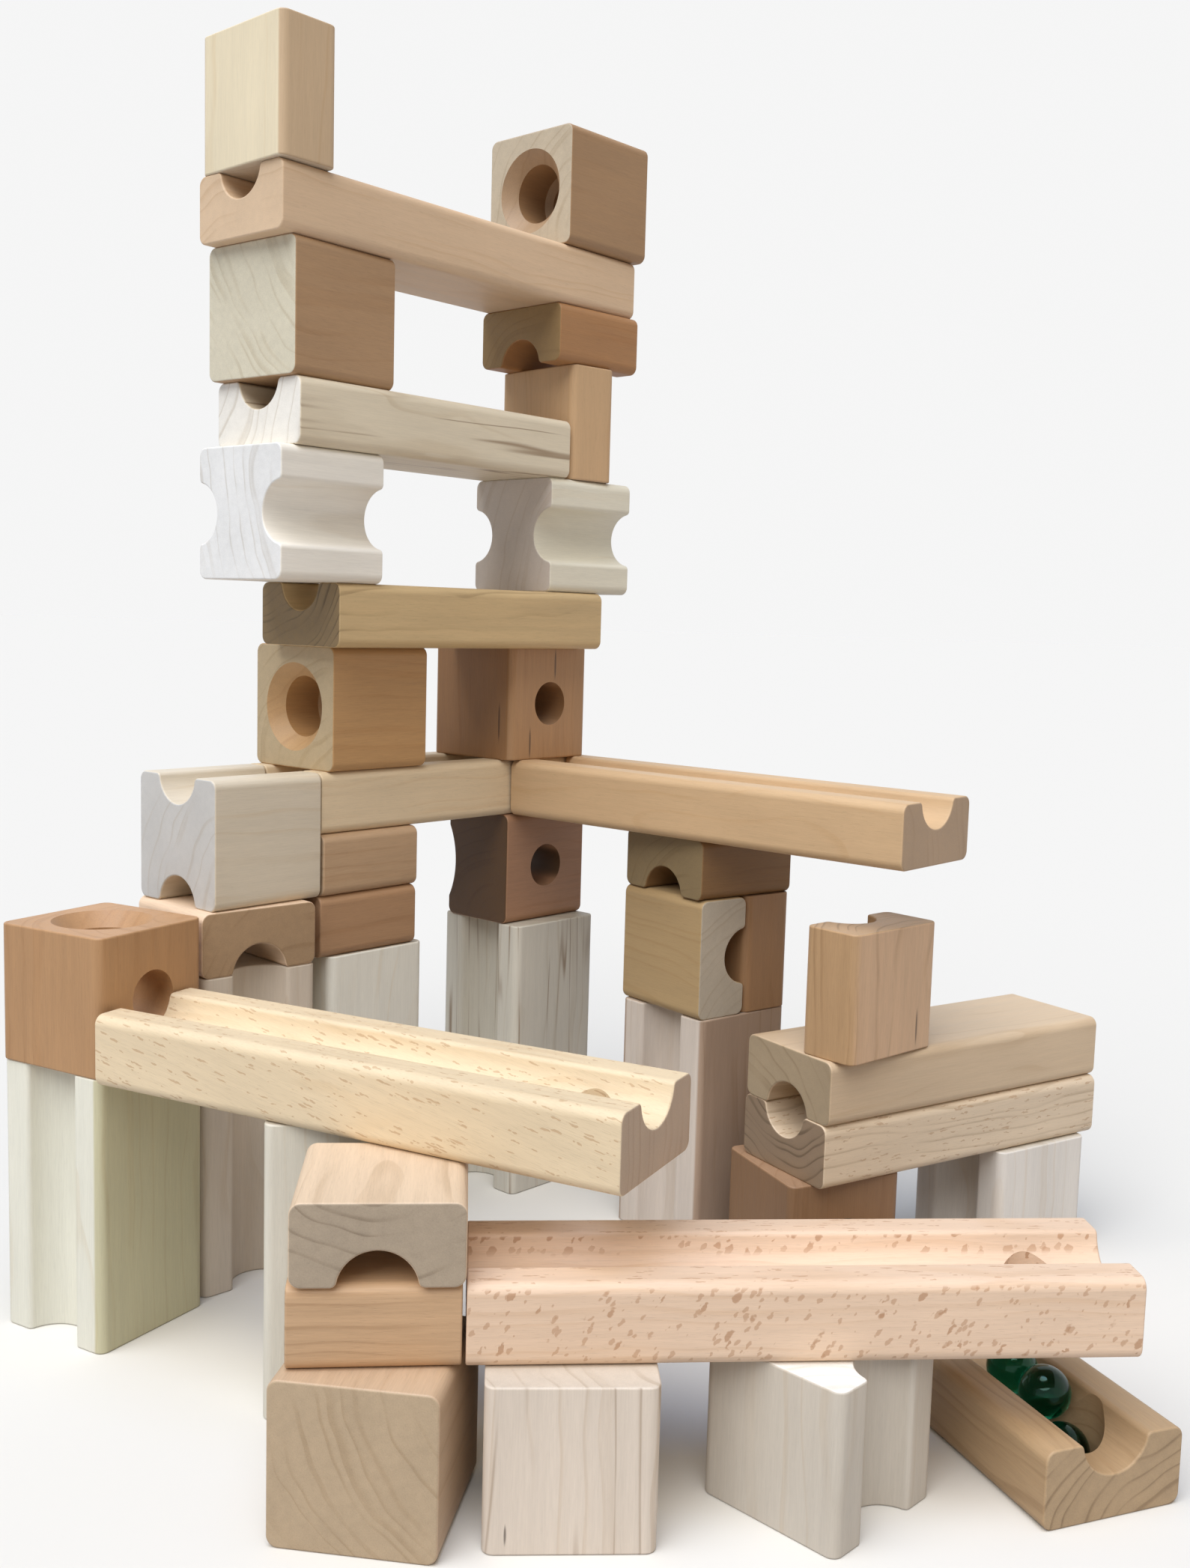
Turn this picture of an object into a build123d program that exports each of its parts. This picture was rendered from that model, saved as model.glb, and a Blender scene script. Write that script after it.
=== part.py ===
"""Wooden marble run: a hand-stacked tower of blocks and grooved rails, with three glass marbles.

Nearly every block is a multiple of one unit cube. The frame has +Z up, the floor at z = 0 and the
origin in the middle of the footprint. The main tower is square to X and Y.
"""
import os
from math import cos, radians, sin

from build123d import *

# ---- driving dimensions, millimetres ----
CUBE = 48.0                      # edge of the unit cube
HALF = CUBE / 2                  # height of rails, bridges and half blocks
MARBLE_D = 16.0                  # glass marble
GROOVE_R = 0.235 * CUBE          # radius of the marble groove
GROOVE_DEPTH = 0.22 * CUBE       # depth of the groove below its face
LIP_R = 0.04 * CUBE              # rounding of the two edges along a groove
EDGE_R = 0.07 * CUBE             # rounding of the long edges, along the grain
END_EASE = 0.014 * CUBE          # small rounding where the ends are sawn off
BORE_R = 0.195 * CUBE            # drop holes and exit holes
FUNNEL_MOUTH_R = 0.36 * CUBE     # outer edge of the conical funnel
FUNNEL_BORE_R = 0.25 * CUBE      # wide bore below the cone
FUNNEL_CONE = 0.11 * CUBE        # depth of the cone
DROP_INSET = CUBE / 2            # from a rail's lower end to its drop hole
CATCH_R = 0.24 * CUBE            # catch hole of the tray, as wide as its groove
CATCH_INSET = 0.48 * CUBE        # from the tray's mouth to the catch hole
SCOOPED_DEPTH = 0.77 * CUBE      # depth of the bored block with the scoop
SCOOP_DEPTH = 0.09 * CUBE
SCOOP_R = 0.73 * CUBE
RUNNING_GAP = 0.35               # air under and between the loose marbles
LEAN = 0.62 * MARBLE_D           # from the marble in the catch hole to the one resting on it

placed = {}                      # node name -> solid, in the order they are stacked


# ---- block shapes: footprint centred on the origin, standing on z = 0, grain along X ----
def profile(width, height, grooves):
    """Section across the grain: a rounded rectangle with half-round grooves in the named sides."""
    section = Pos(0, height / 2) * RectangleRounded(width, height, EDGE_R)
    reach = GROOVE_R - GROOVE_DEPTH
    centres = {
        "top": (0, height + reach),
        "bottom": (0, -reach),
        "left": (width / 2 + reach, height / 2),
        "right": (-width / 2 - reach, height / 2),
    }
    for side in grooves:
        x, y = centres[side]
        section -= Pos(x, y) * Circle(GROOVE_R)
    lips = [v for v in section.vertices() if is_lip(v, [centres[side] for side in grooves])]
    return fillet(lips, LIP_R) if lips else section


def is_lip(vertex, centres):
    """True for a corner that lies on the circle of a groove."""
    return any(abs((Vector(vertex.X, vertex.Y) - Vector(*c)).length - GROOVE_R) < 0.01 for c in centres)


def bar(length, width=CUBE, height=HALF, grooves=()):
    """A length of moulded stock with its grain and its grooves along X."""
    stock = extrude(Plane.YZ.offset(-length / 2) * profile(width, height, grooves), length)
    ends = [stock.faces().sort_by(Axis.X)[i] for i in (0, -1)]
    return fillet([edge for end in ends for edge in end.edges()], END_EASE)


def upright(block, height):
    """Stands a bar on its end, so that its grain is vertical and its top side faces -X."""
    width = block.bounding_box().size.Z
    return Pos(width / 2, 0, height / 2) * (Rot(0, -90, 0) * block)


def rail(cubes, drop_hole=False):
    """Half-height rail with the groove up. Its lower end, with any drop hole, points along +X."""
    block = bar(cubes * CUBE, grooves=["top"])
    if drop_hole:
        inset = cubes * CUBE / 2 - DROP_INSET
        block -= Pos(inset, 0, HALF / 2) * Cylinder(BORE_R, 2 * HALF)
    return block


def flipped(block, height=HALF):
    """Turns a block upside down about its own X axis."""
    return Pos(0, 0, height) * (Rot(180, 0, 0) * block)


def bridge():
    """One-cube piece of rail with its groove down, running along X."""
    return flipped(rail(1))


def pillar(cubes):
    """Square post, grain vertical, with one vertical groove in its -X face."""
    return upright(bar(cubes * CUBE, CUBE, CUBE, ["top"]), cubes * CUBE)


def half_post():
    """Half-thickness block on its end: grain vertical, thin along X."""
    return upright(bar(CUBE), CUBE)


def funnel_cube():
    """Cube with a funnel in its end-grain top that turns to an exit hole in the -Y side."""
    cube = upright(bar(CUBE, CUBE, CUBE), CUBE)
    middle = CUBE / 2
    cone = Pos(0, 0, CUBE - FUNNEL_CONE / 2) * Cone(FUNNEL_BORE_R, FUNNEL_MOUTH_R, FUNNEL_CONE)
    taper_top = middle + (FUNNEL_BORE_R - BORE_R)
    shaft_height = CUBE - FUNNEL_CONE - taper_top
    shaft = Pos(0, 0, taper_top + shaft_height / 2) * Cylinder(FUNNEL_BORE_R, shaft_height)
    taper = Pos(0, 0, (middle + taper_top) / 2) * Cone(BORE_R, FUNNEL_BORE_R, taper_top - middle)
    elbow = Pos(0, 0, middle) * Sphere(BORE_R)
    exit_bore = Pos(0, -CUBE / 4, middle) * (Rot(90, 0, 0) * Cylinder(BORE_R, CUBE / 2))
    return cube - (cone + shaft + taper + elbow + exit_bore)


def tipped_funnel():
    """Funnel cube lying on its side: funnel towards -X, exit hole down."""
    turned = Rot(0, -90, 0) * (Rot(0, 0, -90) * (Pos(0, 0, -CUBE / 2) * funnel_cube()))
    return Pos(0, 0, CUBE / 2) * turned


def bored_cube():
    """Block less deep than a cube: a wide scoop in its +Y side and a level bore through along Y."""
    back = SCOOPED_DEPTH - CUBE / 2
    block = Pos(0, back - SCOOPED_DEPTH / 2, 0) * bar(CUBE, SCOOPED_DEPTH, CUBE)
    scoop = Pos(0, back - SCOOP_DEPTH + SCOOP_R, CUBE / 2) * (Rot(0, 90, 0) * Cylinder(SCOOP_R, 2 * CUBE))
    bore = Pos(0, 0, CUBE / 2) * (Rot(90, 0, 0) * Cylinder(BORE_R, 2 * CUBE))
    return block - scoop - bore


def side_half():
    """Half block on its edge, its level groove facing +X."""
    on_edge = Rot(0, 90, 0) * (Rot(0, 0, 90) * (Pos(0, 0, -HALF / 2) * rail(1)))
    return Pos(0, 0, CUBE / 2) * on_edge


def tray():
    """Three-cube rail, its mouth at the origin and the rest along +X, with a catch hole near the mouth."""
    block = Pos(1.5 * CUBE, 0, 0) * rail(3)
    return block - Pos(CATCH_INSET, 0, HALF / 2) * Cylinder(CATCH_R, 2 * HALF)


# ---- stacking ----
def stand(name, block, x, y, yaw, level):
    """Puts a block down at (x, y), in cubes, turned by yaw degrees, its underside level cubes up."""
    block.label = name
    placed[name] = Pos(x * CUBE, y * CUBE, level * CUBE) * (Rot(0, 0, yaw) * block)


def along(start, yaw, distance, aside=0.0):
    """The point so many cubes along and aside of a start point."""
    c, s = cos(radians(yaw)), sin(radians(yaw))
    return start[0] + distance * c - aside * s, start[1] + distance * s + aside * c


def landing_column():
    """Near column of the main tower, up to the third rail."""
    stand("landing_pillar", pillar(2.5), 0.0, 0.0, -90, 0)
    stand("landing_half_lower", bar(CUBE), -0.09, 0.0, -1, 2.5)
    stand("landing_half_upper", bar(CUBE), -0.08, 0.0, 0, 3)
    stand("rail_4_landing", rail(3), 0.92, 0.03, 0, 3.5)
    stand("tipped_funnel_lower", tipped_funnel(), 0.0, 0.0, 0, 4)


def far_column():
    """Far column of the main tower, up to the third rail."""
    stand("far_pillar", pillar(2.5), 2.03, -0.16, -2, 0)
    stand("bored_cube", bored_cube(), 2.02, 0.0, -1, 2.5)
    stand("tower_funnel", funnel_cube(), 1.94, -0.07, 0, 4)


def upper_tower():
    """The tall ladder of rails and blocks above both columns."""
    line = -0.31
    stand("rail_3_middle", rail(3, drop_hole=True), 0.83, line, -1, 5)
    h_block = ["left", "right"]
    stand("h_block_near", bar(CUBE, CUBE, CUBE, h_block), -0.77, line, 1, 5.5)
    stand("h_block_far", bar(CUBE, CUBE, CUBE, h_block), 2.2, line, -3, 5.5)
    stand("rail_2_upper", rail(3), 0.38, line - 0.01, 1, 6.5)
    stand("slim_post", half_post(), 2.22, line, -6, 6.5)
    stand("tower_cube", bar(CUBE, CUBE, CUBE), -0.68, line, 3, 7)
    stand("tower_bridge", bridge(), 2.24, line, -2, 7.5)
    stand("rail_1_top", rail(4), 0.71, line, 1, 8)
    stand("crown_block", half_post(), -1.06, line - 0.07, -1, 8.5)
    stand("tipped_funnel_top", tipped_funnel(), 2.29, line - 0.02, -1, 8.5)


def gate():
    """Grooved cube on a bridge that leads into the landing rail."""
    stand("gate_pillar", pillar(2.5), -1.15, -0.02, 85, 0)
    stand("gate_bridge", bridge(), -1.16, -0.02, 85, 2.5)
    stand("double_groove_cube", bar(CUBE, CUBE, CUBE, ["top", "bottom"]), -1.1, 0.01, 0, 3)


def side_arm():
    """Rail 5, which leaves the far column sideways and balances on a prop of its own."""
    prop, yaw = (2.22, -2.22), -11
    stand("side_pillar", pillar(2), *prop, -9, 0)
    stand("side_grooved_half", side_half(), *along(prop, yaw, -0.255), yaw, 2)
    stand("side_plain_half", half_post(), *along(prop, yaw, 0.255), yaw, 2)
    stand("side_bridge", bridge(), *prop, yaw - 1, 3)
    stand("rail_5_side", rail(4, drop_hole=True), 2.04, -2.485, -90, 3.5)


def front_run():
    """Rails 6 and 7 with the blocks that hold them, and the funnel they start from."""
    stand("corner_pillar", pillar(2), -2.32, -0.15, 11, 0)
    stand("corner_funnel", funnel_cube(), -2.33, -0.15, 12, 2)
    stand("rail_6_pillar", pillar(2), -1.755, -2.275, 223, 0)
    stand("rail_6_front", rail(4, drop_hole=True), -1.816, -2.629, -75.5, 2)
    front, yaw = (-2.45, -3.37), 46
    stand("front_cube", bar(CUBE, CUBE, CUBE), -2.58, -3.53, 33, 0)
    stand("front_half", bar(CUBE), *front, yaw + 1 - 90, 1)
    stand("front_bridge", bridge(), front[0], front[1] - 0.04, yaw, 1.5)
    stand("rail_7_low", rail(4, drop_hole=True), *along(front, yaw - 90, 2.53), yaw - 90, 1)
    stand("low_prop_cube", upright(bar(CUBE, CUBE, CUBE), CUBE), -1.78, -4.33, 44.5, 0)
    stand("low_prop_grooved", upright(bar(CUBE, CUBE, CUBE, ["top", "bottom"]), CUBE), -0.62, -5.34, 87, 0)


def tunnel():
    """Two rails face to face, on a funnel cube and a grooved block, with a half block on top."""
    centre, yaw = (2.98, -3.99), -17
    stand("tunnel_funnel", funnel_cube(), 1.95, -3.58, -25, 0)
    stand("tunnel_block", pillar(1), 3.81, -4.28, -17, 0)
    stand("rail_10_tunnel_floor", rail(3, drop_hole=True), *centre, yaw + 180, 1)
    stand("rail_9_tunnel_cover", flipped(rail(3, drop_hole=True)), *centre, yaw + 181, 1.5)
    stand("chute_half", Rot(0, 0, -90) * upright(bar(CUBE, grooves=["top"]), CUBE), 1.96, -4.02, -7, 2)


def tray_with_marbles():
    """Tray below the last drop hole. One marble has dropped into its catch hole, two lie behind it."""
    mouth, yaw = (0.4, -6.78), 62.3
    stand("rail_8_tray", tray(), *mouth, yaw, 0)
    radius, step = MARBLE_D / 2, MARBLE_D + RUNNING_GAP
    in_groove = HALF - GROOVE_DEPTH + radius + RUNNING_GAP
    behind = CATCH_INSET + LEAN
    marbles = ((CATCH_INSET, radius + RUNNING_GAP), (behind, in_groove), (behind + step, in_groove))
    for i, (distance, height) in enumerate(marbles):
        x, y = along(mouth, yaw, distance / CUBE)
        stand(f"marble_{i + 1}", Pos(0, 0, height) * Sphere(radius), x, y, yaw, 0)


def main():
    for stack in (landing_column, far_column, upper_tower, gate, side_arm, front_run, tunnel,
                  tray_with_marbles):
        stack()
    boxes = [block.bounding_box() for block in placed.values()]
    middle_x = (min(box.min.X for box in boxes) + max(box.max.X for box in boxes)) / 2
    middle_y = (min(box.min.Y for box in boxes) + max(box.max.Y for box in boxes)) / 2
    os.makedirs("parts", exist_ok=True)
    for name, block in placed.items():
        export_step(Pos(-middle_x, -middle_y, 0) * block, f"parts/{name}.step")


main()
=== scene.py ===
"""Looks of the wooden marble run: a procedural wood for every block, green glass for the marbles.

Lengths are metres, as in the frame. Inside the wood materials they are millimetres.
"""
from math import cos, radians, sin

import bmesh
import bpy
from mathutils import Matrix, Vector

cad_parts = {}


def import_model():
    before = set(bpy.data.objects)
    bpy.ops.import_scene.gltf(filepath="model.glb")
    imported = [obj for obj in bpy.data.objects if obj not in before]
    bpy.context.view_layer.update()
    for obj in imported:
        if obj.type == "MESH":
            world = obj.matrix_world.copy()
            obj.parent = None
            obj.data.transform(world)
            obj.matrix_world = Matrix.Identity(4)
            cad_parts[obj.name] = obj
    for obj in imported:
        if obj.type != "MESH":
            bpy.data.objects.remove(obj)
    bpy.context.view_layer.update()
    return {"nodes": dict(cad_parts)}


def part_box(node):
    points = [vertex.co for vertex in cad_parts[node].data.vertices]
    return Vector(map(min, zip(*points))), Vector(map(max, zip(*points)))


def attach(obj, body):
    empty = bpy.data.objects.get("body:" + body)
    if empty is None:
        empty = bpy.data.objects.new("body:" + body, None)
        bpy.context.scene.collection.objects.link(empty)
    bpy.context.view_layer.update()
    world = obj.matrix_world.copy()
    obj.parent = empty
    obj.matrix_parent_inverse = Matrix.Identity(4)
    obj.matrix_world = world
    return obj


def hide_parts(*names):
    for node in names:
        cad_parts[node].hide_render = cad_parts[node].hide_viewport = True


MM = 0.001
WHITE = (1, 1, 1, 1)

# ---- camera, floor and light ----
CAMERA_AT = (-0.4283, -0.3288, 0.2540)
CAMERA_HEADING = 41.2            # degrees from +X towards +Y
CAMERA_DIP = 6.2                 # degrees below the horizon
CAMERA_ROLL = 1.6                # degrees
CAMERA_LENS = 35.27              # mm, on Blender's 36 mm sensor
CAMERA_NEAR = 0.01
FLOOR_RADIUS = 30.0
FLOOR_COLOUR = (0.762, 0.739, 0.681)
FLOOR_BOUNCE = (0.52, 0.51, 0.50)    # what the floor throws back at the blocks
SKY = (0.24, 0.24, 0.24)
BACKDROP = (0.918, 0.918, 0.918)     # the sky as the camera and reflections see it: as pale as the floor
# light: direction from the object to it, strength, colour, and the angle that it fills in degrees
LIGHTS = {
    "key": ((-0.51, -0.12, 0.85), 3.4, (0.97, 0.97, 0.99), 60),
    "fill": ((0.25, -1.0, 0.55), 0.28, (1.0, 0.78, 0.54), 70),
    "top": ((0, 0, 1), 0.55, (0.18, 0.45, 1.0), 30),
}

# ---- figure shared by all woods; sizes are mm across the grain, outwards from the pith and along it ----
RING_PROFILE = ((0.0, 0.25), (0.08, 0.0), (0.70, 0.14), (0.94, 1.0), (1.0, 0.25))   # across one ring
RING_DRIFT = (9.0, 2.2)          # mm over which rings crowd and spread, and by how many rings
RING_PATCH, RING_SHOWS = (22, 22, 50), (0.30, 0.62)      # the rings show in patches
RING_DEPTH, RING_ON_SIDES = 1.4, 0.55
RING_WARMTH = (1.0, 0.93, 0.84, 1)
BEND_GRAIN, BEND = (40, 40, 90), (16, 16, 0)             # how the rings bend
END_FACE = (0.6, 0.95)           # how squarely a face cuts the grain: from side colour to end colour
FIBRE_GRAIN = (0.40, 0.40, 9.0)
STREAK_GRAIN = (2.6, 2.6, 70.0)
CLOUD_GRAIN = (26, 26, 60)
PORE_GRAIN, PORE_CUT, PORE_DEPTH = (0.28, 0.28, 3.2), (0.66, 0.74), 0.22
LAYER_SWING = 2.4
VEIN_GRAIN, VEIN_WIDTH = (8.0, 8.0, 150.0), 0.05
VEIN_PATCH, VEIN_SHOWS = (14, 14, 60), (0.40, 0.62)
VEIN_COLOUR = (0.27, 0.17, 0.09, 1)
FLECK_EDGE = (1.5, 1.5, 2.0)     # size of the wobbles in a fleck's outline
FLECK_WOBBLE = (0.8, 1.6, 1.6)
FLECK_SLANT = -0.45
FLECK_TINT = (0.60, 0.45, 0.34, 1)
FLECK_FACE = (0.75, 0.95)        # how squarely a face is turned: from no flecks to all of them
MARK_COLOUR, MARK_STRENGTH = (0.05, 0.03, 0.02, 1), 0.7
BUMP_HEIGHT, BUMP_STRENGTH = 0.12, 0.35      # mm, and how much of it shows
ROUGHNESS, ROUGHNESS_SWING, GLOSS = 0.50, 0.25, 0.4

# ---- kinds of wood: how strong each layer of the figure is, and the lean of the fibres ----
PLAIN = dict(
    ring=0.10, ring_width=7.0, fibre=0.07, streak=0.06, cloud=0.09, pores=0.12,
    vein=0.0, slope=0.0, flecks=(),
)
MAPLE = dict(PLAIN, ring=0.13, pores=0.08)
PLAIN_MAPLE = dict(PLAIN, ring=0.06, streak=0.05)
MINERAL_MAPLE = dict(MAPLE, ring=0.12, vein=0.8)
VEINED_MAPLE = dict(MINERAL_MAPLE, vein=0.5)
BEECH = dict(PLAIN, ring=0.07, ring_width=5.0, pores=0.25)
BANDED_BEECH = dict(BEECH, ring=0.34, ring_width=3.6, streak=0.12)
ALDER = dict(PLAIN, ring=0.09, fibre=0.10, streak=0.08, pores=0.25)
LINED_ALDER = dict(ALDER, ring=0.22, ring_width=5.0)
# ray flecks: cell size, rarity, strength, and the faces that show them
SIDES, FLATS, ALL_ROUND = (1, 0, 0), (0, 1, 0), (1, 1, 0)
DASHED_BEECH = dict(BEECH, slope=-0.2, flecks=(((0.9, 0.9, 6.5), 0.55, 0.55, ALL_ROUND),))
TUNNEL_BEECH = dict(DASHED_BEECH, slope=0.0, ring=0.30, ring_width=4.0)
FLECKED_BEECH = dict(BEECH, flecks=(
    ((2.3, 5.4, 3.4), 0.05, 0.75, SIDES),
    ((1.6, 3.4, 2.2), 0.50, 0.55, SIDES),
    ((0.8, 0.9, 6.5), 0.55, 0.60, FLATS),
))

# ---- the blocks ----
UP = None                        # grain that stands vertical

# node: (wood, side colour, end-grain colour, grain heading in degrees, turn of the rings, pith distance mm)
BLOCKS = {
    "crown_block": (PLAIN_MAPLE, (0.78, 0.68, 0.48), (0.66, 0.56, 0.42), UP, 200, 60),
    "tipped_funnel_top": (ALDER, (0.37, 0.22, 0.11), (0.54, 0.46, 0.34), 0, 60, 50),
    "rail_1_top": (BEECH, (0.70, 0.50, 0.32), (0.68, 0.50, 0.33), 0, 10, 70),
    "tower_cube": (ALDER, (0.41, 0.25, 0.13), (0.66, 0.61, 0.47), 0, 130, 110),
    # end colour is three quarters of the wood's lit tone: the rest is painted shade of the rail above it
    "tower_bridge": (ALDER, (0.40, 0.20, 0.08), (0.31, 0.20, 0.085), 0, 20, 50),
    "slim_post": (BEECH, (0.60, 0.39, 0.21), (0.56, 0.40, 0.26), UP, 80, 60),
    "rail_2_upper": (MINERAL_MAPLE, (0.76, 0.66, 0.49), (0.86, 0.83, 0.76), 0, 250, 55),
    "h_block_near": (MAPLE, (0.90, 0.85, 0.75), (0.82, 0.82, 0.80), 0, 100, 60),
    "h_block_far": (PLAIN_MAPLE, (0.77, 0.72, 0.58), (0.60, 0.53, 0.46), 0, 70, 60),
    "rail_3_middle": (BANDED_BEECH, (0.60, 0.43, 0.22), (0.25, 0.17, 0.08), 0, 220, 40),
    "tipped_funnel_lower": (ALDER, (0.52, 0.30, 0.128), (0.49, 0.38, 0.23), 0, 40, 45),
    # side colour darkened as painted shade for the faces in the shaded gap between the columns; the +Y and
    # -Y faces are lit up again by their tint
    "tower_funnel": (ALDER, (0.34, 0.18, 0.08), (0.46, 0.28, 0.16), UP, 30, 50),
    "rail_4_landing": (BEECH, (0.76, 0.61, 0.41), (0.62, 0.48, 0.31), 0, 200, 60),
    "rail_5_side": (BEECH, (0.60, 0.41, 0.23), (0.42, 0.29, 0.18), -90, 80, 60),
    "double_groove_cube": (PLAIN_MAPLE, (0.69, 0.61, 0.48), (0.58, 0.57, 0.54), 0, 60, 50),
    "landing_half_upper": (ALDER, (0.52, 0.35, 0.21), (0.46, 0.33, 0.21), 0, 20, 60),
    "landing_half_lower": (ALDER, (0.44, 0.26, 0.14), (0.40, 0.25, 0.15), -1, 60, 60),
    "landing_pillar": (PLAIN_MAPLE, (0.90, 0.88, 0.78), (0.70, 0.64, 0.52), UP, 120, 60),
    "gate_bridge": (ALDER, (0.80, 0.60, 0.42), (0.42, 0.28, 0.16), 85, 30, 50),
    "gate_pillar": (PLAIN_MAPLE, (0.68, 0.59, 0.48), (0.60, 0.52, 0.42), UP, 60, 60),
    "corner_funnel": (ALDER, (0.45, 0.255, 0.12), (0.50, 0.29, 0.15), UP, 140, 30),
    "corner_pillar": (PLAIN_MAPLE, (0.78, 0.76, 0.64), (0.70, 0.66, 0.54), UP, 20, 60),
    "rail_6_front": (DASHED_BEECH, (0.77, 0.62, 0.41), (0.46, 0.34, 0.24), -75.5, 90, 70),
    "rail_6_pillar": (PLAIN_MAPLE, (0.70, 0.66, 0.55), (0.62, 0.57, 0.48), UP, 100, 60),
    "front_bridge": (LINED_ALDER, (0.68, 0.52, 0.36), (0.40, 0.32, 0.23), 46, 175, 34),
    "front_half": (LINED_ALDER, (0.57, 0.37, 0.21), (0.50, 0.34, 0.20), -43, 20, 60),
    "front_cube": (ALDER, (0.56, 0.40, 0.26), (0.48, 0.36, 0.23), 33, 120, 120),
    "rail_7_low": (FLECKED_BEECH, (0.76, 0.56, 0.40), (0.60, 0.42, 0.30), -44, 0, 70),
    "low_prop_cube": (VEINED_MAPLE, (0.72, 0.62, 0.51), (0.62, 0.54, 0.44), UP, 140, 50),
    "low_prop_grooved": (PLAIN_MAPLE, (0.60, 0.54, 0.45), (0.82, 0.80, 0.74), UP, 40, 60),
    "rail_8_tray": (LINED_ALDER, (0.46, 0.31, 0.17), (0.44, 0.31, 0.18), 62.3, 40, 45),
    "side_bridge": (ALDER, (0.24, 0.13, 0.05), (0.25, 0.18, 0.09), -12, 40, 50),
    "side_grooved_half": (BEECH, (0.46, 0.32, 0.16), (0.54, 0.48, 0.38), 79, 30, 50),
    "side_plain_half": (ALDER, (0.38, 0.22, 0.11), (0.34, 0.21, 0.12), UP, 60, 60),
    "side_pillar": (MAPLE, (0.68, 0.60, 0.52), (0.60, 0.50, 0.40), UP, 20, 60),
    # end colour darkened as painted shade: its end face sits in the shaded gap between the columns
    "bored_cube": (ALDER, (0.42, 0.23, 0.13), (0.11, 0.055, 0.02), 0, 30, 50),
    "far_pillar": (MINERAL_MAPLE, (0.72, 0.68, 0.58), (0.60, 0.56, 0.46), UP, 60, 60),
    "chute_half": (LINED_ALDER, (0.50, 0.32, 0.17), (0.50, 0.34, 0.20), UP, 100, 50),
    "rail_9_tunnel_cover": (MAPLE, (0.62, 0.47, 0.31), (0.40, 0.31, 0.20), 164, 40, 60),
    "rail_10_tunnel_floor": (TUNNEL_BEECH, (0.70, 0.56, 0.40), (0.28, 0.20, 0.13), 163, 180, 30),
    "tunnel_funnel": (ALDER, (0.25, 0.14, 0.07), (0.36, 0.22, 0.13), UP, 100, 50),
    "tunnel_block": (PLAIN_MAPLE, (0.76, 0.71, 0.64), (0.66, 0.61, 0.52), UP, 20, 60),
}
HALF_CUBE = 24                   # mm
Y_TINT_FACE = (0.2, 0.45)         # how far out and how squarely turned a face is: from no tint to full tint
# tint of the faces that are turned towards +Y and -Y; on tower_funnel it is painted light, lightening those
# faces against its side colour, which is darkened as painted shade
Y_FACE_TINT = {
    "crown_block": (0.75, 0.62, 0.54),
    "corner_pillar": (0.78, 0.75, 0.58),
    # painted light: lightens the +Y and -Y faces against the side colour darkened as painted shade
    "tower_funnel": (1.28, 1.40, 1.55),
    "side_pillar": (0.66, 0.54, 0.45),
    "chute_half": (1.25, 1.30, 1.50),
}
# small dark marks: distance from the block's centre, then half sizes, both in mm
MARKS = {
    "tower_funnel": (
        ((3, -24, 17), (0.7, 5, 8)),
        ((-12, -24, -17), (0.7, 5, 8)),
        ((-24, -17, -8), (5, 0.7, 10)),
    ),
    "chute_half": (((12, -12, -15), (0.7, 5, 9)),),
    "corner_pillar": (((20, -24, -24), (1.3, 3, 1.3)),),
    "low_prop_cube": (((-29.6, -4.4, -18), (0.5, 0.5, 4.2)),),
}

# ---- the marbles ----
# node: body it rides on
MARBLES = {"marble_1": "root", "marble_2": "middle_marble", "marble_3": "back_marble"}
GLASS_DARK, GLASS_LIGHT = (0.005, 0.10, 0.055, 1), (0.012, 0.21, 0.12, 1)
GLASS_SWIRL = (5.0, 5.0, 9.0)    # mm
GLASS_SHINE = (0.30, 0.55, 0.45, 1)


class Graph:
    """Adds shader nodes to a tree; an input is a plain value or another node's output."""

    def __init__(self, tree):
        self.tree = tree

    def add(self, kind, inputs=(), **settings):
        node = self.tree.nodes.new(kind)
        for name, value in settings.items():
            setattr(node, name, value)
        for key, value in dict(inputs).items():
            self.feed(node.inputs[key], value)
        return node

    def feed(self, socket, value):
        if isinstance(value, bpy.types.NodeSocket):
            self.tree.links.new(value, socket)
        else:
            socket.default_value = value

    def math(self, operation, *values):
        return self.add("ShaderNodeMath", enumerate(values), operation=operation).outputs[0]

    def vector(self, operation, *values, out=0):
        return self.add("ShaderNodeVectorMath", enumerate(values), operation=operation).outputs[out]

    def ramp(self, value, start, end):
        """0 below start, 1 above end, smooth between."""
        inputs = {"Value": value, "From Min": start, "From Max": end}
        return self.add("ShaderNodeMapRange", inputs, interpolation_type="SMOOTHSTEP").outputs[0]

    def mix(self, amount, a, b, blend="MIX"):
        """Mixes two colours; the keys are the node's factor and its two colour sockets."""
        inputs = {0: amount, 6: a, 7: b}
        return self.add("ShaderNodeMix", inputs, data_type="RGBA", blend_type=blend).outputs[2]

    def noise(self, point, size, detail=2.0, out=0):
        """Noise whose grains have the given size."""
        scaled = self.vector("DIVIDE", point, size)
        inputs = {"Vector": scaled, "Scale": 1.0, "Detail": detail}
        return self.add("ShaderNodeTexNoise", inputs).outputs[out]

    def wave(self, value, amount):
        """Turns a 0..1 value into a swing of amount about zero."""
        return self.math("MULTIPLY", self.math("SUBTRACT", value, 0.5), amount)


def grain_frame(heading, turn):
    """Wood axes as a matrix: Z runs along the grain and Y points away from the pith."""
    if heading is UP:
        along, first, second = Vector((0, 0, 1)), Vector((1, 0, 0)), Vector((0, 1, 0))
    else:
        along = Vector((cos(radians(heading)), sin(radians(heading)), 0))
        first = Vector((0, 0, 1))
        second = first.cross(along)
    radial = first * cos(radians(turn)) + second * sin(radians(turn))
    return Matrix((radial.cross(along), radial, along)).transposed()


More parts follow.
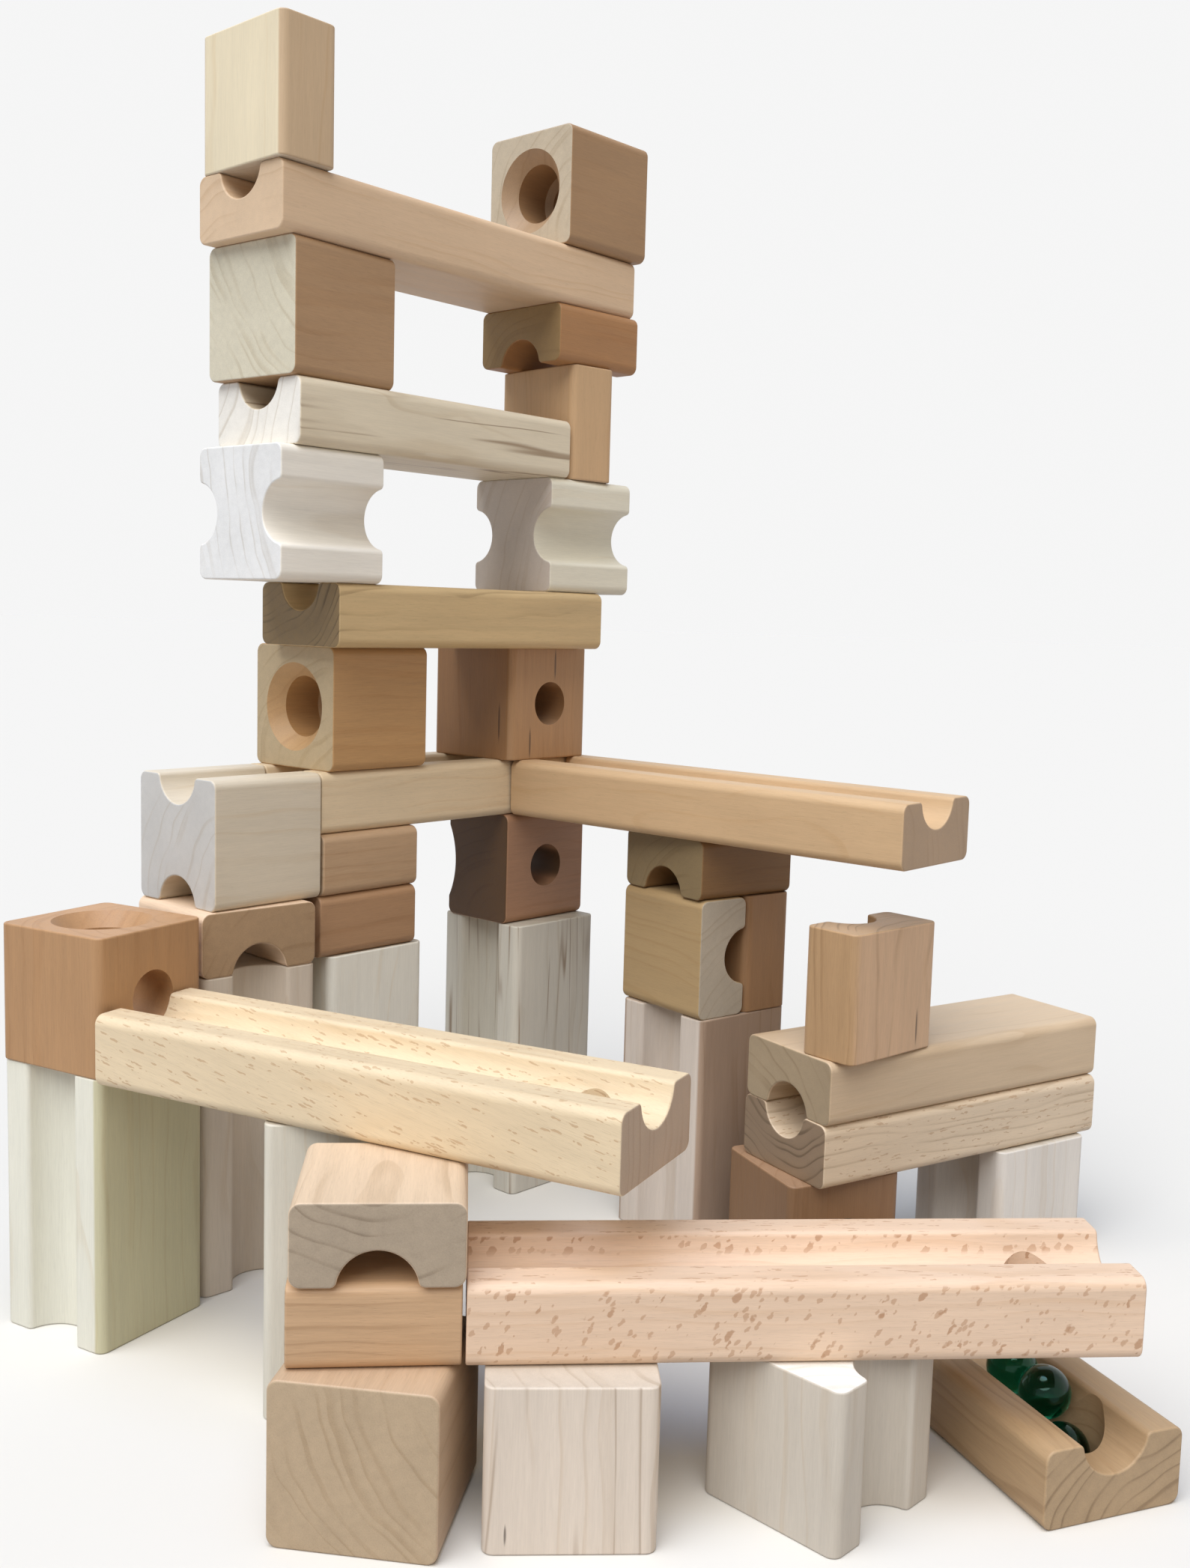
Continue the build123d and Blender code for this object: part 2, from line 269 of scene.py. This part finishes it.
class WoodGraph(Graph):
    """The layers of one block's wood, all worked out in three dimensions, so that ends and sides agree."""

    def __init__(self, tree, name, wood, heading, turn, pith):
        super().__init__(tree)
        self.name, self.wood, self.pith = name, wood, pith
        low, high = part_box(name)
        self.centre = (low + high) / 2
        coords = self.add("ShaderNodeTexCoord").outputs
        self.place, self.facing = coords["Object"], coords["Normal"]
        angles = grain_frame(heading, turn).to_euler()
        block_axes = {"Location": self.centre, "Rotation": angles, "Scale": (MM, MM, MM)}
        self.point = self.into_block(self.place, block_axes)
        self.normal = self.into_block(self.facing, {"Rotation": angles})
        self.is_end = self.ramp(self.math("ABSOLUTE", self.part(self.normal, 2)), *END_FACE)
        # every block has its own piece of the noise, shifted by its place in the run
        shift = Vector(((low.x + high.y) * 9000, (low.y - high.x) * 7000, high.z * 11000))
        runout = self.math("MULTIPLY", self.part(self.point, 2), wood["slope"])
        self.own = self.vector("ADD", self.vector("ADD", self.point, shift), self.shift_along(0, runout))

    def into_block(self, vector, inputs):
        return self.add("ShaderNodeMapping", {"Vector": vector, **inputs}, vector_type="TEXTURE").outputs[0]

    def part(self, vector, axis):
        return self.add("ShaderNodeSeparateXYZ", {0: vector}).outputs[axis]

    def shift_along(self, axis, amount):
        return self.add("ShaderNodeCombineXYZ", {axis: amount}).outputs[0]

    def swirl(self, point, size, detail):
        """A vector noise, centred on zero."""
        return self.vector("SUBTRACT", self.noise(point, size, detail, out=1), (0.5, 0.5, 0.5))

    def rings(self):
        """Growth rings about the pith, 1 at the late wood, showing in patches."""
        bent = self.vector("MULTIPLY_ADD", self.swirl(self.own, BEND_GRAIN, 2.0), BEND, self.point)
        from_pith = self.vector("MULTIPLY", self.vector("ADD", bent, (0, self.pith, 0)), (1, 1, 0))
        radius = self.vector("LENGTH", from_pith, out=1)
        spread, by_rings = RING_DRIFT
        drift = {"W": self.math("DIVIDE", radius, spread), "Scale": 1.0}
        uneven = self.add("ShaderNodeTexNoise", drift, noise_dimensions="1D").outputs[0]
        even = self.math("DIVIDE", radius, self.wood["ring_width"])
        turns = self.math("ADD", even, self.math("MULTIPLY", uneven, by_rings))
        late = self.add("ShaderNodeFloatCurve", {"Value": self.math("FRACT", turns)})
        draw_curve(late, RING_PROFILE)
        patches = self.ramp(self.noise(self.own, RING_PATCH, 1.0), *RING_SHOWS)
        return self.math("MULTIPLY", late.outputs[0], patches)

    def shade(self, rings, fibre, streak, pores):
        """Lightness of the wood about 1; the rings show most on the end grain."""
        clarity = self.math("ADD", RING_ON_SIDES, self.math("MULTIPLY", self.is_end, 1 - RING_ON_SIDES))
        drawn = self.math("MULTIPLY", rings, clarity)
        shade = self.math("SUBTRACT", 1.0, self.math("MULTIPLY", drawn, self.wood["ring"] * RING_DEPTH))
        cloud = self.noise(self.own, CLOUD_GRAIN, 1.0)
        for layer, name in ((fibre, "fibre"), (streak, "streak"), (cloud, "cloud")):
            shade = self.math("ADD", shade, self.wave(layer, LAYER_SWING * self.wood[name]))
        return self.math("SUBTRACT", shade, self.math("MULTIPLY", pores, PORE_DEPTH * self.wood["pores"]))

    def tint_y_faces(self, base):
        """Tints the faces on the block's +Y and -Y sides, but not its bores and grooves; on tower_funnel
        the tint is painted light.
        """
        if self.name not in Y_FACE_TINT:
            return base
        outwards = self.vector("SUBTRACT", self.place, self.centre)
        scaled = self.vector("MULTIPLY", outwards, (0, 1 / (HALF_CUBE * MM), 0))
        facing = self.vector("DOT_PRODUCT", scaled, self.facing, out=1)
        tinted = self.mix(1.0, base, (*Y_FACE_TINT[self.name], 1), "MULTIPLY")
        return self.mix(self.ramp(facing, *Y_TINT_FACE), base, tinted)

    def veins(self, colour):
        """Thin dark mineral lines in patches, on the long faces only."""
        if not self.wood["vein"]:
            return colour
        contour = self.math("ABSOLUTE", self.wave(self.noise(self.own, VEIN_GRAIN, 1.0), 1.0))
        patches = self.ramp(self.noise(self.own, VEIN_PATCH, 1.0), *VEIN_SHOWS)
        shown = self.math("MULTIPLY", patches, self.math("SUBTRACT", 1.0, self.is_end))
        vein = self.math("MULTIPLY", self.math("POWER", self.ramp(contour, VEIN_WIDTH, 0.0), 2.0), shown)
        return self.mix(self.math("MULTIPLY", vein, self.wood["vein"]), colour, VEIN_COLOUR)

    def flecks(self, cell, rarity):
        """Ray flecks in cells of the given size, a little ragged and slanted, from ticks up to blotches."""
        moved = self.vector("MULTIPLY_ADD", self.swirl(self.own, FLECK_EDGE, 1.0), FLECK_WOBBLE, self.own)
        lean = self.math("MULTIPLY", self.part(self.own, 1), FLECK_SLANT)
        slanted = self.vector("ADD", moved, self.shift_along(2, lean))
        inputs = {"Vector": self.vector("DIVIDE", slanted, cell), "Scale": 1.0}
        voronoi = self.add("ShaderNodeTexVoronoi", inputs).outputs
        chance = self.add("ShaderNodeSeparateColor", {0: voronoi["Color"]}).outputs[0]
        reach = self.math("MULTIPLY", self.ramp(chance, rarity, 1.0), 0.50)
        return self.ramp(self.math("SUBTRACT", reach, voronoi["Distance"]), 0.0, 0.10)

    def marks(self, colour):
        """The block's small dark cracks and knots."""
        for at, half in MARKS.get(self.name, ()):
            away = self.vector("SUBTRACT", self.place, self.centre + MM * Vector(at))
            reach = self.vector("LENGTH", self.vector("DIVIDE", away, MM * Vector(half)), out=1)
            inside = self.ramp(reach, 1.0, 0.5)
            colour = self.mix(self.math("MULTIPLY", inside, MARK_STRENGTH), colour, MARK_COLOUR)
        return colour


def wood_material(name, wood, side, end, heading, turn, pith):
    """Solid wood for one block, from the layers of its graph."""
    material = bpy.data.materials.new("wood_" + name)
    material.use_nodes = True
    shader = material.node_tree.nodes["Principled BSDF"]
    w = WoodGraph(material.node_tree, name, wood, heading, turn, pith)
    rings = w.rings()
    fibre = w.noise(w.own, FIBRE_GRAIN, 3.0)
    streak = w.noise(w.own, STREAK_GRAIN, 3.0)
    pores = w.ramp(w.noise(w.own, PORE_GRAIN, 0.0), *PORE_CUT)

    # the +Y and -Y tint is painted light on tower_funnel
    base = w.tint_y_faces(w.mix(w.is_end, (*side, 1), (*end, 1)))
    warm = w.mix(w.math("MULTIPLY", rings, 0.5), WHITE, RING_WARMTH)
    shade = w.shade(rings, fibre, streak, pores)
    grey = w.add("ShaderNodeCombineColor", {0: shade, 1: shade, 2: shade}).outputs[0]
    colour = w.veins(w.mix(1.0, w.mix(1.0, base, warm, "MULTIPLY"), grey, "MULTIPLY"))
    height = w.math("SUBTRACT", w.math("MULTIPLY", fibre, 0.5), w.math("MULTIPLY", pores, 0.3))

    for cell, rarity, strength, faces in wood["flecks"]:
        shown = w.vector("DOT_PRODUCT", w.vector("ABSOLUTE", w.normal), faces, out=1)
        spots = w.math("MULTIPLY", w.flecks(cell, rarity), w.ramp(shown, *FLECK_FACE))
        brown = w.mix(1.0, base, FLECK_TINT, "MULTIPLY")
        colour = w.mix(w.math("MULTIPLY", spots, strength), colour, brown)
        height = w.math("SUBTRACT", height, w.math("MULTIPLY", spots, 0.2))

    w.feed(shader.inputs["Base Color"], w.marks(colour))
    w.feed(shader.inputs["Roughness"], w.math("ADD", ROUGHNESS, w.wave(streak, ROUGHNESS_SWING)))
    relief = {"Height": height, "Strength": BUMP_STRENGTH, "Distance": BUMP_HEIGHT * MM}
    bump = w.add("ShaderNodeBump", relief)
    w.feed(shader.inputs["Normal"], bump.outputs[0])
    shader.inputs["Specular IOR Level"].default_value = GLOSS
    return material


def draw_curve(node, points):
    """Sets a float curve to the given points, end points included."""
    curve = node.mapping.curves[0]
    curve.points[0].location = points[0]
    curve.points[1].location = points[-1]
    for place in points[1:-1]:
        curve.points.new(*place)
    node.mapping.update()


def glass_material():
    """Bottle-green glass."""
    material = bpy.data.materials.new("green_glass")
    material.use_nodes = True
    g = Graph(material.node_tree)
    shader = material.node_tree.nodes["Principled BSDF"]
    coords = g.add("ShaderNodeTexCoord").outputs["Object"]
    swirl = g.noise(g.vector("DIVIDE", coords, (MM, MM, MM)), GLASS_SWIRL, 2.0)
    g.feed(shader.inputs["Base Color"], g.mix(swirl, GLASS_DARK, GLASS_LIGHT))
    shader.inputs["Transmission Weight"].default_value = 1.0
    shader.inputs["Specular Tint"].default_value = GLASS_SHINE
    shader.inputs["Roughness"].default_value = 0.02
    shader.inputs["IOR"].default_value = 1.52
    return material


def make_marble(node, body, glass):
    """Smooth glass ball in place of the CAD sphere."""
    low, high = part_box(node)
    mesh = bpy.data.meshes.new(node + "_glass")
    ball = bmesh.new()
    bmesh.ops.create_icosphere(ball, subdivisions=5, radius=(high.z - low.z) / 2)
    bmesh.ops.translate(ball, verts=ball.verts, vec=(low + high) / 2)
    ball.to_mesh(mesh)
    ball.free()
    mesh.shade_smooth()
    mesh.materials.append(glass)
    marble = bpy.data.objects.new(node + "_glass", mesh)
    bpy.context.scene.collection.objects.link(marble)
    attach(marble, body)
    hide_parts(node)


def dress_blocks(nodes):
    for name, look in BLOCKS.items():
        mesh = nodes[name].data
        mesh.materials.clear()
        mesh.materials.append(wood_material(name, *look))


def make_camera():
    heading, dip = radians(CAMERA_HEADING), radians(CAMERA_DIP)
    look = Vector((cos(dip) * cos(heading), cos(dip) * sin(heading), -sin(dip)))
    camera = bpy.data.objects.new("camera", bpy.data.cameras.new("camera"))
    bpy.context.scene.collection.objects.link(camera)
    level = look.to_track_quat("-Z", "Y").to_matrix()
    turn = level @ Matrix.Rotation(radians(CAMERA_ROLL), 3, "Z")
    camera.matrix_world = Matrix.Translation(CAMERA_AT) @ turn.to_4x4()
    camera.data.lens = CAMERA_LENS
    camera.data.clip_start = CAMERA_NEAR
    bpy.context.scene.camera = camera


def make_floor():
    mesh = bpy.data.meshes.new("floor")
    disc = bmesh.new()
    bmesh.ops.create_circle(disc, cap_ends=True, segments=96, radius=FLOOR_RADIUS)
    disc.to_mesh(mesh)
    disc.free()
    paint = bpy.data.materials.new("floor")
    paint.use_nodes = True
    shader = paint.node_tree.nodes["Principled BSDF"]
    g = Graph(paint.node_tree)
    seen = g.add("ShaderNodeLightPath").outputs["Is Camera Ray"]
    g.feed(shader.inputs["Base Color"], g.mix(seen, (*FLOOR_BOUNCE, 1), (*FLOOR_COLOUR, 1)))
    shader.inputs["Roughness"].default_value = 0.9
    shader.inputs["Specular IOR Level"].default_value = 0.0
    mesh.materials.append(paint)
    floor = bpy.data.objects.new("floor", mesh)
    bpy.context.scene.collection.objects.link(floor)


def make_sun(name, direction, strength, colour, spread):
    light = bpy.data.lights.new(name, "SUN")
    light.energy = strength
    light.color = colour
    light.angle = radians(spread)
    lamp = bpy.data.objects.new(name, light)
    lamp.rotation_mode = "QUATERNION"
    lamp.rotation_quaternion = Vector(direction).to_track_quat("Z", "Y")
    bpy.context.scene.collection.objects.link(lamp)


def make_light():
    for name, look in LIGHTS.items():
        make_sun(name, *look)
    world = bpy.data.worlds.new("studio")
    world.use_nodes = True
    bpy.context.scene.world = world
    g = Graph(world.node_tree)
    world.node_tree.nodes.clear()
    ray = g.add("ShaderNodeLightPath").outputs
    seen = g.math("MAXIMUM", ray["Is Camera Ray"], ray["Is Glossy Ray"])
    colour = g.mix(seen, (*SKY, 1), (*BACKDROP, 1))
    background = g.add("ShaderNodeBackground", {"Color": colour})
    g.add("ShaderNodeOutputWorld", {"Surface": background.outputs[0]})
    bpy.context.scene.view_settings.view_transform = "Standard"


def main():
    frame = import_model()
    make_camera()
    make_floor()
    make_light()
    dress_blocks(frame["nodes"])
    glass = glass_material()
    for node, body in MARBLES.items():
        make_marble(node, body, glass)


main()
